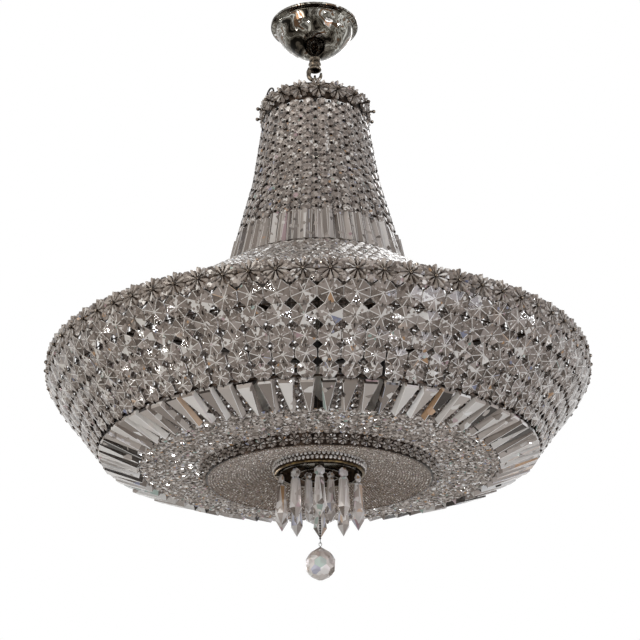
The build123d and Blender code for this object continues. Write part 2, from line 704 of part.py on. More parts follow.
# ---- Everything by name ------------------------------------------------------------------
parts = {
    "mounting_bar": mounting_bar,
    "nipple": nipple,
    "nipple_locknut": nipple_locknut,
    "canopy": canopy,
    "canopy_collar": canopy_collar,
    "ceiling_hook": ceiling_hook,
    "hanging_link": hanging_link,
    "top_eye": top_eye,
    "stem_tube": stem_tube,
    "stem_rod": stem_rod,
    "crown_ring": crown_ring,
    "crown_spider": crown_spider,
    "crown_wire": crown_wire,
    "crown_rosettes": crown_rosettes,
    "tent_strands": tent_strands,
    "tent_prisms": tent_prisms,
    "tent_hoop": tent_hoop,
    "flare_strands": flare_strands,
    "rim_ring": rim_ring,
    "rim_spider": rim_spider,
    "rim_rosettes": rim_rosettes,
    **basket_rows,
    "prism_hoop": prism_hoop,
    "basket_prisms": basket_prisms,
    "lower_strands": lower_strands,
    "bottom_ring": bottom_ring,
    "bottom_rosettes": bottom_rosettes,
    "foot_spider": foot_spider,
    "dish": dish,
    "finial_plate": finial_plate,
    "finial_collar": finial_collar,
    "finial_band": finial_band,
    "finial_nut": finial_nut,
    "drop_ring": drop_ring,
    "inner_drop_ring": inner_drop_ring,
    "lamp_sockets": lamp_sockets,
    "lamp_bulbs": lamp_bulbs,
    **drops,
    "pendant_chain": pendant_chain,
    "crystal_ball": crystal_ball,
}
for name, shape in parts.items():
    export_step(shape, f"parts/{name}.step")

# The swing axes, for the joints.
print("hook", hook_bottom, "link", link_bottom, "rim", rim_z, "drops", drop_level, "yoke", yoke_bar)
print("radii", drop_ring_radius, inner_ring_radius, "ball", ball_centre, "nodes", len(parts))
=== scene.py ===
import json
import random
from math import cos, hypot, pi, radians, sin, tau

import bmesh
import bpy
from mathutils import Matrix, Vector


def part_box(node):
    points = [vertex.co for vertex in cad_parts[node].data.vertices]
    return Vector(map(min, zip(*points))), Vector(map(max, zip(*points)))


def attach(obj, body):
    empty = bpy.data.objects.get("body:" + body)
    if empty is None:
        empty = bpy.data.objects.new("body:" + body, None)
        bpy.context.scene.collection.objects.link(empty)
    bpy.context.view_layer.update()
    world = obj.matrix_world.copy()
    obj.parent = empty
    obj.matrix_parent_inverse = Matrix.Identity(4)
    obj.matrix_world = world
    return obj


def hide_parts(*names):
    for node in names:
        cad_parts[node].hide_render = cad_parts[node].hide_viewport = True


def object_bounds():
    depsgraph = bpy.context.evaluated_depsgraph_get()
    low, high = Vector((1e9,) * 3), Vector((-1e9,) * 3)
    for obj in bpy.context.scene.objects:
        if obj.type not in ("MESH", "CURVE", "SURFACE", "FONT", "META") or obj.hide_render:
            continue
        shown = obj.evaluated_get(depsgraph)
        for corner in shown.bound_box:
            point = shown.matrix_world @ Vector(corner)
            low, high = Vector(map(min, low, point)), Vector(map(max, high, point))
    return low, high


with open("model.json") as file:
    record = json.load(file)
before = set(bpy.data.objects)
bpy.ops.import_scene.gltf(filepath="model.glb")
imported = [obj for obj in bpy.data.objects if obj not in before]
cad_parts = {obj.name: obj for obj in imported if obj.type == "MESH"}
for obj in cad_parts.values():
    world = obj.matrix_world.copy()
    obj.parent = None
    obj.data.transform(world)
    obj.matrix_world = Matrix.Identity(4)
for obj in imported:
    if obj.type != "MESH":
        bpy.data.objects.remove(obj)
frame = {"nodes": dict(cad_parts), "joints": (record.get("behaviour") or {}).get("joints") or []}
cad_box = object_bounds()

# ---- Camera ------------------------------------------------------------------------------
# The photograph was taken from about two metres away and from below, looking up into the basket
# through a long lens. The camera was fitted to the circles of the rim and of the crown.
camera_data = bpy.data.cameras.new("camera")
camera_data.sensor_width = 36
camera_data.lens = 92.64
camera_place = (0.0032, -2.150, -1.4069)
camera_tilt = radians(90 + 23.088)
camera_roll = radians(-0.692)
camera = bpy.data.objects.new("camera", camera_data)
camera.matrix_world = (Matrix.Translation(camera_place) @ Matrix.Rotation(camera_tilt, 4, "X")
                       @ Matrix.Rotation(camera_roll, 4, "Z"))
bpy.context.scene.collection.objects.link(camera)
bpy.context.scene.camera = camera
bpy.context.scene.view_settings.view_transform = "Standard"


# ---- Studio ------------------------------------------------------------------------------
# A pale plaster floor lies a room's height under the ceiling plane. Three soft boxes stand round the
# object, and six small lamps give the cut glass its glints. What is seen behind it is plain white.
def linear(colour):
    """A linear colour from an sRGB hex value."""
    parts = [int(colour[i:i + 2], 16) / 255 for i in (1, 3, 5)]
    return tuple(c / 12.92 if c <= 0.04045 else ((c + 0.055) / 1.055) ** 2.4 for c in parts) + (1.0,)


def add(tree, kind, links=None, stops=(), steps=False, **settings):
    """Adds a shader node. Links give each input a value, or the output that feeds it."""
    node = tree.nodes.new("ShaderNode" + kind)
    for name, value in settings.items():
        setattr(node, name, value)
    for i, (position, colour) in enumerate(stops):
        stop = node.color_ramp.elements[i] if i < 2 else node.color_ramp.elements.new(position)
        stop.position = position
        stop.color = linear(colour)
    if steps:
        node.color_ramp.interpolation = "CONSTANT"
    for socket, value in (links or {}).items():
        if isinstance(value, bpy.types.NodeSocket):
            tree.links.new(value, node.inputs[socket])
        else:
            node.inputs[socket].default_value = value
    return node


world = bpy.data.worlds.new("studio")
bpy.context.scene.world = world
world.use_nodes = True
room = world.node_tree
room.nodes.clear()
rays = add(room, "LightPath")
seen = add(room, "Math", {0: rays.outputs["Is Camera Ray"], 1: rays.outputs["Is Glossy Ray"]},
           operation="MAXIMUM")
seen = add(room, "Math", {0: seen.outputs[0], 1: rays.outputs["Is Transmission Ray"]}, operation="MAXIMUM")
daylight = add(room, "Background", {"Color": linear("#f4f1ec"), "Strength": 0.55})
white = add(room, "Background", {"Color": (1, 1, 1, 1), "Strength": 1.0})
sky = add(room, "MixShader", {0: seen.outputs[0], 1: daylight.outputs[0], 2: white.outputs[0]})
add(room, "OutputWorld", {"Surface": sky.outputs[0]})

floor_height = -2.4
floor_mesh = bmesh.new()
bmesh.ops.create_grid(floor_mesh, x_segments=2, y_segments=2, size=8.0,
                      matrix=Matrix.Translation((0, 0, floor_height)))
floor_data = bpy.data.meshes.new("floor")
floor_mesh.to_mesh(floor_data)
floor = bpy.data.objects.new("floor", floor_data)
bpy.context.scene.collection.objects.link(floor)
plaster = bpy.data.materials.new("pale_plaster")
plaster.use_nodes = True
grain = add(plaster.node_tree, "TexNoise", {"Scale": 3.0, "Detail": 4.0})
tone = add(plaster.node_tree, "ValToRGB", {0: grain.outputs["Fac"]},
           stops=[(0.3, "#f6f5f3"), (0.7, "#fbfaf9")])
plaster_shader = plaster.node_tree.nodes["Principled BSDF"]
plaster.node_tree.links.new(tone.outputs[0], plaster_shader.inputs["Base Color"])
plaster_shader.inputs["Roughness"].default_value = 0.8
floor_data.materials.append(plaster)

# Each lamp: where it stands, its width, its power and its colour.
lamps = {
    "key_box": ((-1.5, -1.9, -0.2), 1.2, 20, "#fff6ea"),
    "fill_box": ((1.7, -1.6, -1.3), 1.0, 13, "#eef1ff"),
    "top_box": ((0.3, 0.9, 0.9), 1.2, 12, "#ffffff"),
    "glint_left": ((-0.9, -2.4, -1.9), 0.10, 4, "#ffffff"),
    "glint_right": ((1.3, -2.3, 0.1), 0.10, 4, "#fff0dc"),
    "glint_low": ((0.25, -1.3, -2.2), 0.10, 3, "#f2f6ff"),
    "glint_side": ((-1.9, -0.6, -1.5), 0.10, 3, "#ffffff"),
    "glint_window": ((2.1, -0.4, -0.7), 0.12, 4, "#f6f9ff"),
    "glint_back": ((-0.6, 1.8, -1.7), 0.12, 3, "#ffffff"),
}
middle = (cad_box[0] + cad_box[1]) / 2
for name, (place, width, power, colour) in lamps.items():
    lamp = bpy.data.lights.new(name, "AREA")
    lamp.size = width
    lamp.energy = power
    lamp.color = linear(colour)[:3]
    lamp_stand = bpy.data.objects.new(name, lamp)
    aim = (middle - Vector(place)).to_track_quat("-Z", "Y")
    lamp_stand.matrix_world = Matrix.Translation(place) @ aim.to_matrix().to_4x4()
    bpy.context.scene.collection.objects.link(lamp_stand)

# ---- Canopy ------------------------------------------------------------------------------
# A bell spun from thin sheet, with an upright lip that is rolled over a wire and a bright step inside it. It
# is plated in polished nickel; a painted reflection of a dark room lies in the bell's colour in warped bands
# and patches, and a paler painted reflection lies in the step's.
mm = 0.001


def level(node, up):
    """A height in mm on a CAD node, from its foot (0) to its top (1)."""
    low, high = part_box(node)
    return (low.z + (high.z - low.z) * up) / mm


def plated(name, tones, roughness, blotch, warp=0.0):
    """A plated metal. Its tones lie side by side in blotches of that many mm, drawn out by the warp."""
    material = bpy.data.materials.new(name)
    material.use_nodes = True
    tree = material.node_tree
    shader = tree.nodes["Principled BSDF"]
    place = add(tree, "TexCoord").outputs["Object"]
    clouds = add(tree, "TexNoise", {"Vector": place, "Scale": 1 / (blotch * mm), "Detail": 3.0,
                                    "Distortion": warp})
    stops = [(0.34 + 0.32 * i / (len(tones) - 1), tone) for i, tone in enumerate(tones)]
    tone = add(tree, "ValToRGB", {0: clouds.outputs["Fac"]}, stops=stops)
    rub = add(tree, "TexNoise", {"Vector": place, "Scale": 1 / (0.6 * mm), "Detail": 2.0})
    polish = add(tree, "MapRange", {"Value": rub.outputs["Fac"], "To Min": roughness * 0.7,
                                    "To Max": roughness * 1.4})
    tree.links.new(tone.outputs[0], shader.inputs["Base Color"])
    tree.links.new(polish.outputs[0], shader.inputs["Roughness"])
    shader.inputs["Metallic"].default_value = 1.0
    return material


def turned(profile, steps=96):
    """A mesh spun about Z from (radius, height) points in mm."""
    bm = bmesh.new()
    line = [bm.verts.new((r * mm, 0, z * mm)) for r, z in profile]
    edges = [bm.edges.new(pair) for pair in zip(line, line[1:])]
    bmesh.ops.spin(bm, geom=line + edges, cent=(0, 0, 0), axis=(0, 0, 1), angle=tau, steps=steps,
                   use_merge=True)
    bmesh.ops.remove_doubles(bm, verts=bm.verts, dist=0.01 * mm)
    return bm


def ring_wire(bm, centre, axis, radius, thickness, sides=10, steps=32, stretch=0.0):
    """A closed ring of wire about an axis, in mm. Stretch parts its halves along Z."""
    side = Vector(axis).cross((0, 0, 1)) if abs(axis[2]) < 0.5 else Vector((1, 0, 0))
    start = len(bm.verts)
    stand = (Matrix.Translation((Vector(centre) + side * radius) * mm)
             @ side.cross(axis).to_track_quat("Z", "Y").to_matrix().to_4x4())
    ring = bmesh.ops.create_circle(bm, cap_ends=False, segments=sides, radius=thickness * mm, matrix=stand)
    edges = list({edge for vert in ring["verts"] for edge in vert.link_edges})
    bmesh.ops.spin(bm, geom=ring["verts"] + edges, cent=Vector(centre) * mm, axis=axis, angle=tau,
                   steps=steps, use_merge=True)
    bm.verts.ensure_lookup_table()
    for vert in bm.verts[start:]:
        vert.co.z += stretch * mm * (1 if vert.co.z > centre[2] * mm else -1)


def put(name, bm, material, body, nodes=(), soft_edges=None):
    """Makes the piece, shades it smooth up to an angle, and fixes it to its body."""
    bmesh.ops.recalc_face_normals(bm, faces=bm.faces)
    mesh = bpy.data.meshes.new(name)
    bm.to_mesh(mesh)
    bm.free()
    mesh.materials.append(material)
    if soft_edges:
        mesh.shade_smooth()
        mesh.set_sharp_from_angle(angle=radians(soft_edges))
    made = bpy.data.objects.new(name, mesh)
    bpy.context.scene.collection.objects.link(made)
    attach(made, body)
    if nodes:
        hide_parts(*nodes)
    return made


def dress(material, *nodes):
    """Gives CAD nodes their material."""
    for node in nodes:
        mesh = frame["nodes"][node].data
        mesh.materials.clear()
        mesh.materials.append(material)


# Painted reflection: the tones of a dark room mirrored in the bell, drawn out in warped bands.
painted_reflection_tones = ["#171512", "#5c564e", "#2a2722", "#8c887f", "#3a3630", "#c9c8c1", "#57534c", "#785d47",
                "#2c2823", "#f4f4f0"]
canopy_nickel_painted_reflection = plated("canopy_nickel_with_painted_reflection", painted_reflection_tones, 0.07, 24, 1.1)
# Bright nickel: its warped pale and dark blotches are a painted reflection.
polished_nickel = plated("polished_nickel", ["#55524b", "#8d8a82", "#6b6860", "#c9c7c0"], 0.10, 14, 0.8)
aged_nickel = plated("aged_nickel", ["#3d362f", "#5f574d", "#877d70"], 0.22, 5)
# Painted shade: the near-black stands for the shade that the frame, clips and wires lie in, mostly behind the
# glass.
dark_nickel_painted_shade = plated("dark_nickel_with_painted_shade", ["#120e0c", "#261f1a", "#3b312a"], 0.30, 6)
canopy_foot = level("canopy", 0)
bell = turned([(66.7, 0), (66.7, -2.6), (66.1, -3.8), (64.8, -4.4), (60.6, -5.4), (59.4, -6.2), (59.0, -7.6),
               (58.4, -11.5), (55.8, -18.5), (51.0, -26.0), (44.0, -34.0), (35.8, -41.6), (27.4, -47.8),
               (19.6, -52.4), (14.2, -55.2), (11.0, -57.2), (9, canopy_foot)], 128)
bmesh.ops.recalc_face_normals(bell, faces=bell.faces)
sheet_gauge = 1.0
bmesh.ops.solidify(bell, geom=bell.faces[:], thickness=sheet_gauge * mm)
put("canopy_bell", bell, canopy_nickel_painted_reflection, "ceiling_mount", ["canopy"], 32)
rolled_lip = bmesh.new()
ring_wire(rolled_lip, (0, 0, -3.4), (0, 0, 1), 65.8, 0.8, 8, 96)
put("canopy_rolled_lip", rolled_lip, dark_nickel_painted_shade, "ceiling_mount", soft_edges=60)
step_bead = bmesh.new()
ring_wire(step_bead, (0, 0, -6.2), (0, 0, 1), 59.8, 0.7, 8, 96)
put("canopy_step_bead", step_bead, polished_nickel, "ceiling_mount", soft_edges=60)

# ---- Collar ------------------------------------------------------------------------------
# A turned brass collar, nickelled and darker than the canopy. It has a bead and a flared lip, and
# it screws on to the threaded nipple to hold the canopy up. The hook leaves its dark bore.
collar_steps = [(6, 0), (9.0, 0), (9.1, 1), (8.7, 2), (8.6, 7), (9.2, 8.2), (9.7, 9.4), (9.7, 10.4),
                (9.2, 11.8), (8.6, 12.8), (8.6, 14.8), (9.2, 16.2), (9.9, 17.4), (9.9, 19.2), (9.3, 20),
                (7.4, 20), (7.0, 17), (6, 17), (6, 0)]
collar = turned([(r, canopy_foot - down) for r, down in collar_steps], 48)
put("canopy_collar_turned", collar, aged_nickel, "ceiling_mount", ["canopy_collar"], 40)

# ---- Mounting hardware -------------------------------------------------------------------
# A pressed steel bar, a threaded nipple and its locknut, all zinc plated with a bluish grey bloom.
# They are inside the canopy, and the two outer holes take the ceiling box's screws.
zinc = plated("zinc_plated_steel", ["#8f949a", "#a2a6a8", "#b4b7b8"], 0.38, 3)
dress(zinc, "mounting_bar", "nipple", "nipple_locknut")


# ---- Hook, link and eye ------------------------------------------------------------------
# The hook is bent from thick rod and leaves the collar on one side. A welded link hangs on it and
# takes the eye at the top of the stem. All are nickelled, and dull where they rub.
def wire(bm, start, facing, thickness, moves, sides=12):
    """Draws a wire from a ring, in mm: a run (vector), a bend (centre, axis, degrees) or a taper (share)."""
    turn = Vector(facing).to_track_quat("Z", "Y").to_matrix().to_4x4()
    stand = Matrix.Translation(Vector(start) * mm) @ turn
    ring = bmesh.ops.create_circle(bm, cap_ends=False, segments=sides, radius=thickness * mm, matrix=stand)
    edges = list({edge for vert in ring["verts"] for edge in vert.link_edges})
    for move in moves:
        verts = list({vert for edge in edges for vert in edge.verts})
        if isinstance(move, float):
            centre = sum((vert.co for vert in verts), Vector()) / len(verts)
            bmesh.ops.scale(bm, verts=verts, vec=(move,) * 3, space=Matrix.Translation(-centre))
            continue
        if isinstance(move[0], (int, float)):
            grown = bmesh.ops.extrude_edge_only(bm, edges=edges)["geom"]
            tip = [item for item in grown if isinstance(item, bmesh.types.BMVert)]
            bmesh.ops.translate(bm, verts=tip, vec=Vector(move) * mm)
        else:
            centre, axis, angle = move
            grown = bmesh.ops.spin(bm, geom=verts + edges, cent=Vector(centre) * mm, axis=axis,
                                   angle=radians(angle), steps=max(4, abs(angle) // 12))["geom_last"]
        edges = [item for item in grown if isinstance(item, bmesh.types.BMEdge)]
    bmesh.ops.holes_fill(bm, edges=[edge for edge in bm.edges if edge.is_boundary], sides=0)


hook = bmesh.new()
quarter = ((0, 0, -87), (0, -1, 0), 45)
wire(hook, (-6.8, 0, -76.0), (-0.35, 0, -1), 4.1,
     [(-2.5, 0, -6.5), 0.97, (0, 0, -4.5), 0.92, quarter, 0.9, quarter, 0.92, quarter, 0.9, quarter, 0.88,
      (0.2, 0, 1.9), 0.72, (0.1, 0, 1.1)], 16)
put("hook_bent", hook, aged_nickel, "ceiling_mount", ["ceiling_hook"], 50)
link = bmesh.new()
ring_wire(link, (0, 0, -99.65), (1, 0, 0), 9.0, 2.0, 12)
put("link_welded", link, aged_nickel, "hanging_link", ["hanging_link"], 50)
eye_cap = [(4.5, -130.2), (5.6, -128), (6.5, -125.2), (6.5, -123.6), (5.6, -122), (4.5, -120.6),
           (3.0, -119.6)]
eye = turned(eye_cap, 32)
ring_wire(eye, (0, 0, -112.2), (0, 1, 0), 8.0, 2.0, 12)
put("eye_with_cap", eye, aged_nickel, "chandelier", ["top_eye"], 40)

# ---- Frame -------------------------------------------------------------------------------
# The stem is a bright plated tube with a thin threaded rod below, and its pale blotches are a painted
# reflection. The rings, hoops and arms that carry the crystal are cut from strip and wire, and their
# near-black colour is painted shade, for they lie behind the glass.
dress(polished_nickel, "stem_tube", "finial_plate")
dress(aged_nickel, "stem_rod", "finial_nut", "drop_ring", "inner_drop_ring")
dress(dark_nickel_painted_shade, "crown_ring", "crown_spider", "tent_hoop", "rim_ring", "rim_spider", "prism_hoop",
      "bottom_ring", "foot_spider")
hub_top = level("rim_spider", 1)
washer_line = [(3.6, -5.0), (11.9, -5.0), (12.4, -5.8), (11.9, -6.6), (3.6, -6.6), (3.6, -5.0)]
hub_washer = turned([(r, hub_top + z) for r, z in washer_line], 32)
put("hub_washer", hub_washer, polished_nickel, "chandelier", soft_edges=40)

# ---- Tie wire ----------------------------------------------------------------------------
# A bent wire stands on the crown ring, and the chandelier is tied up by it while it is hung.
tie_azimuth = radians(208)
tie_bend = 12.0
tie_height = 15.0
crown_wall = 75.56
tie_out = Vector((cos(tie_azimuth), sin(tie_azimuth), 0))
tie_along = Vector((-sin(tie_azimuth), cos(tie_azimuth), 0))
tie_centre = tie_out * crown_wall + Vector((0, 0, level("crown_ring", 1)))
tie_rise = Vector((0, 0, tie_height - tie_bend))
tie_wire = bmesh.new()
wire(tie_wire, tie_centre - tie_along * tie_bend, (0, 0, 1), 1.4,
     [tuple(tie_rise), (tuple(tie_centre + tie_rise), tuple(-tie_out), 180), tuple(-tie_rise)], 10)
put("crown_tie_wire", tie_wire, dark_nickel_painted_shade, "chandelier", ["crown_wire"], 50)


# ---- Tent --------------------------------------------------------------------------------
# Forty-eight strands of cut octagons hang from the crown ring and spread like a tent, each half a
# crystal lower than its neighbour. Every octagon is pinned to the next by a bent wire clip.
def cut_glass(name, tones, mosaic, share, clearness, fire=0.98):
    """Cut crystal. Each facet has a tone that is a painted refraction, from painted shade to a painted white
    glint, and in a share of cells of mm the painted refraction follows the cells instead. A few facets take
    painted fire colours.
    """
    material = bpy.data.materials.new(name)
    material.use_nodes = True
    tree = material.node_tree
    shader = tree.nodes["Principled BSDF"]
    facet = add(tree, "Attribute", attribute_name="facet")
    place = add(tree, "TexCoord").outputs["Object"]
    cells = add(tree, "TexVoronoi", {"Vector": place, "Scale": 1 / (mosaic * mm)})
    inner = add(tree, "SeparateColor", {0: cells.outputs["Color"]})
    painted_refraction_mask = add(tree, "Math", {0: inner.outputs[1], 1: share}, operation="LESS_THAN")
    draw = add(tree, "Mix", {0: painted_refraction_mask.outputs[0], 2: facet.outputs["Fac"], 3: inner.outputs[0]},
               data_type="FLOAT")
    # The facet tones are painted refraction, dark to pale, and the top stop is a painted white glint.
    stops = list(zip((0.0, 0.12, 0.38, 0.7, 0.92), tones))
    tone = add(tree, "ValToRGB", {0: draw.outputs[0]}, steps=True, stops=stops)
    chance = add(tree, "TexWhiteNoise", {"W": draw.outputs[0]}, noise_dimensions="1D")
    chance = add(tree, "SeparateColor", {0: chance.outputs["Color"]})
    # Painted fire: a few facets take the colours that cut glass splits light into.
    prism = add(tree, "ValToRGB", {0: chance.outputs[0]}, steps=True,
                stops=[(0.0, "#d9a468"), (0.4, "#98a6d0"), (0.62, "#cfa9b6"), (0.86, "#9cc8be")])
    painted_fire_mask = add(tree, "Math", {0: chance.outputs[1], 1: fire}, operation="GREATER_THAN")
    painted_fire_mask = add(tree, "Math", {0: painted_fire_mask.outputs[0], 1: 0.6}, operation="MULTIPLY")
    colour = add(tree, "Mix", {0: painted_fire_mask.outputs[0], 6: tone.outputs[0], 7: prism.outputs[0]}, data_type="RGBA")
    relief = add(tree, "Bump", {"Height": cells.outputs["Distance"], "Strength": 0.2,
                                "Distance": mosaic * mm * 0.2})
    tree.links.new(colour.outputs[2], shader.inputs["Base Color"])
    tree.links.new(relief.outputs[0], shader.inputs["Normal"])
    shader.inputs["Roughness"].default_value = 0.04
    shader.inputs["IOR"].default_value = 1.56
    shader.inputs["Specular IOR Level"].default_value = 0.35
    shader.inputs["Transmission Weight"].default_value = clearness
    return material


def cut(name, bm, material, body, nodes=()):
    """Puts glass in place. Each facet draws its own tone of painted refraction, and one marked as a polished
    edge a pale tone, a painted highlight.
    """
    facet = bm.faces.layers.float.get("facet") or bm.faces.layers.float.new("facet")
    for face in bm.faces:
        face[facet] = random.uniform(0.93, 1.0) if face[facet] > 0.5 else random.random()
    return put(name, bm, material, body, nodes)


def octagon(width, length, depth, table, back=True):
    """A cut octagon in mm: a girdle, sloped facets round a table in front, and the same behind."""
    bm = bmesh.new()
    bm.faces.layers.float.new("facet")
    face = bmesh.ops.create_circle(bm, cap_ends=True, segments=8, radius=0.5 / cos(pi / 8),
                                   matrix=Matrix.Rotation(pi / 8, 4, "Z"))["verts"][0].link_faces[0]
    bmesh.ops.scale(bm, verts=bm.verts, vec=(width * mm, length * mm, 1))
    girdle = bmesh.ops.extrude_face_region(bm, geom=[face], use_keep_orig=True)["geom"]
    bmesh.ops.translate(bm, verts=[item for item in girdle if isinstance(item, bmesh.types.BMVert)],
                        vec=(0, 0, depth * 0.3 * mm))
    bmesh.ops.recalc_face_normals(bm, faces=bm.faces)
    for face in [f for f in bm.faces if len(f.verts) == 8 and (f.normal.z > 0 or back)]:
        bmesh.ops.inset_individual(bm, faces=[face], thickness=width * (1 - table) / 2 * mm,
                                   depth=depth * 0.35 * mm)
    bmesh.ops.translate(bm, verts=bm.verts, vec=(0, 0, -depth * 0.15 * mm))
    mesh = bpy.data.meshes.new("octagon")
    bm.to_mesh(mesh)
    bm.free()
    return mesh


def clip(width, length, depth):
    """A bent wire clip in mm, seen as a short dark bar with sloped ends."""
    bm = bmesh.new()
    bmesh.ops.create_cone(bm, cap_ends=True, segments=4, radius1=0.5, radius2=0.3, depth=1,
                          matrix=Matrix.Rotation(pi / 4, 4, "Z"))
    bmesh.ops.scale(bm, verts=bm.verts, vec=(width * 1.4 * mm, length * 1.4 * mm, depth * mm))
    mesh = bpy.data.meshes.new("clip")
    bm.to_mesh(mesh)
    bm.free()
    return mesh


def steps_along(line, pitch, first=0.0):
    """Places along (radius, height) points, each with its direction."""
    places = []
    reach = first
    for (r, z), (next_r, next_z) in zip(line, line[1:]):
        length = hypot(next_r - r, next_z - z)
        dr, dz = (next_r - r) / length, (next_z - z) / length
        while reach <= length:
            places.append((r + dr * reach, z + dz * reach, dr, dz))
            reach += pitch
        reach -= length
    return places


def stand(r, z, dr, dz, azimuth, out=0.0, loose=0.0):
    """A place on the object: Y runs along the line there, Z faces out, and it is loose by some degrees."""
    basis = Matrix(((0, dr, dz, (r + dz * out) * mm), (1, 0, 0, 0), (0, dz, -dr, (z - dr * out) * mm),
                    (0, 0, 0, 1)))
    sway = Matrix.Rotation(radians(random.uniform(-loose, loose)), 4, "X")
    twist = Matrix.Rotation(radians(random.uniform(-loose, loose)), 4, "Y")
    return Matrix.Rotation(radians(azimuth), 4, "Z") @ basis @ sway @ twist


def strung(mesh, places, bm=None):
    """Copies of a small mesh at each of the places."""
    bm = bm or bmesh.new()
    for place in places:
        copy = mesh.copy()
        copy.transform(place)
        bm.from_mesh(copy)
        bpy.data.meshes.remove(copy)
    return bm


random.seed(48)
# Painted refraction tones, darkest first, up to a painted white glint.
small_tones = ["#433a34", "#756a63", "#968b84", "#b8afa9", "#f6f4f2"]
small_cut = cut_glass("small_cut_crystal", small_tones, 2.4, 0.35, 0.4)
tent_top = level("tent_strands", 1)
tent_foot = level("tent_strands", 0)
tent_shoulder = -277.9
tent_line = [(115.3, tent_foot), (90.3, tent_shoulder), (75.6, tent_top)]
tent_pitch = 14.9
tent_count = 48
tent_overlap = 1.4
tent_beads = []
tent_clips = []
for strand in range(tent_count):
    azimuth = 360 / tent_count * strand
    drop = tent_pitch / 2 * (strand % 2)
    for r, z, dr, dz in steps_along(tent_line, tent_pitch, 1.0 + drop):
        tent_beads.append(stand(r, z, dr, dz, azimuth, tent_overlap * (strand % 2), 5))
    for r, z, dr, dz in steps_along(tent_line, tent_pitch, 1.0 + tent_pitch / 2 + drop):
        tent_clips.append(stand(r, z, dr, dz, azimuth, 2.6, 6))
tent_octagon = octagon(14.6, 15.4, 4.6, 0.42)
cut("tent_octagons", strung(tent_octagon, tent_beads), small_cut, "chandelier", ["tent_strands"])
put("tent_clips", strung(clip(4.0, 3.6, 2.0), tent_clips), dark_nickel_painted_shade, "chandelier")


# ---- Tent prisms -------------------------------------------------------------------------
# A fringe of long, narrow, ridged prisms hangs under the tent, each on its own clip. They are moulded and
# fire polished, and read as fine upright streaks drawn by painted highlights on their ridges and painted
# refraction in their facets.
def bar(width_top, width_foot, length, depth, ridge):
    """A tapered prism in mm, from its foot up Y. Its front facet narrows from the top to the foot."""
    bm = bmesh.new()
    facet = bm.faces.layers.float.new("facet")
    bmesh.ops.create_cube(bm, size=1.0)
    for vert in bm.verts:
        top = vert.co.y > 0
        width = width_top if top else width_foot
        front = vert.co.z > 0
        across = (ridge if top else 0.12) if front else 1.0
        vert.co = ((1 if vert.co.x > 0 else -1) * width / 2 * across * mm, (length if top else 0) * mm,
                   (depth if front else 0) * mm)
    shoulders = [edge for edge in bm.edges if all(v.co.y > length / 2 * mm for v in edge.verts)]
    bmesh.ops.bevel(bm, geom=shoulders, offset=width_top * 0.1 * mm, offset_type="OFFSET", segments=1,
                    profile=0.5, affect="EDGES", material=-1)
    ridges = [edge for edge in bm.edges if all(v.co.z > depth * 0.4 * mm for v in edge.verts)
              and abs(edge.verts[0].co.y - edge.verts[1].co.y) > length / 2 * mm]
    # The polished ridge bevels are marked for a pale painted highlight.
    polished = bmesh.ops.bevel(bm, geom=ridges, offset=0.4 * mm, offset_type="OFFSET", segments=1,
                               profile=0.5, affect="EDGES", material=-1)
    for face in polished["faces"]:
        face[facet] = 1.0
    mesh = bpy.data.meshes.new("bar")
    bm.to_mesh(mesh)
    bm.free()
    return mesh


# Painted refraction tones, darkest first, up to a painted white glint.
long_tones = ["#655b54", "#8f857e", "#aaa19b", "#c2bab5", "#f0edeb"]
long_cut = cut_glass("moulded_prism_glass", long_tones, 5.0, 0.12, 0.45)
fringe_foot = level("tent_prisms", 0)
fringe_count = 96
fringe_radius = 126.5
fringe_layer = 3.5
fringe_step = 360 / fringe_count
fringe = [stand(fringe_radius - fringe_layer * (k % 2), fringe_foot, -0.23, 0.973, fringe_step * k, 0, 3)
          for k in range(fringe_count)]
fringe_prism = bar(13.4, 15.2, 52.0, 4.6, 0.3)
cut("tent_prism_fringe", strung(fringe_prism, fringe), long_cut, "chandelier", ["tent_prisms"])

# ---- Flare -------------------------------------------------------------------------------
# From the hoop under the fringe, strands of small octagons run out and down to the rim and close
# the top of the basket. They touch, and each hangs a little steeper than its strand.
flare_line = [(367.5, level("flare_strands", 0) + 1.5), (300.0, -536.0), (215.0, -484.0),
              (132.0, fringe_foot - 4)]
flare_pitch = 12.3
flare_beads = []
for ring, (r, z, dr, dz) in enumerate(steps_along(flare_line, flare_pitch, 3.0)):
    count = int(tau * r / flare_pitch)
    for k in range(count):
        flare_beads.append(stand(r, z, -0.62, 0.785, 360 * (k + ring % 2 / 2) / count, 0.0, 9))
flare_octagon = octagon(12.6, 12.8, 4.2, 0.45)
cut("flare_octagons", strung(flare_octagon, flare_beads), small_cut, "chandelier", ["flare_strands"])


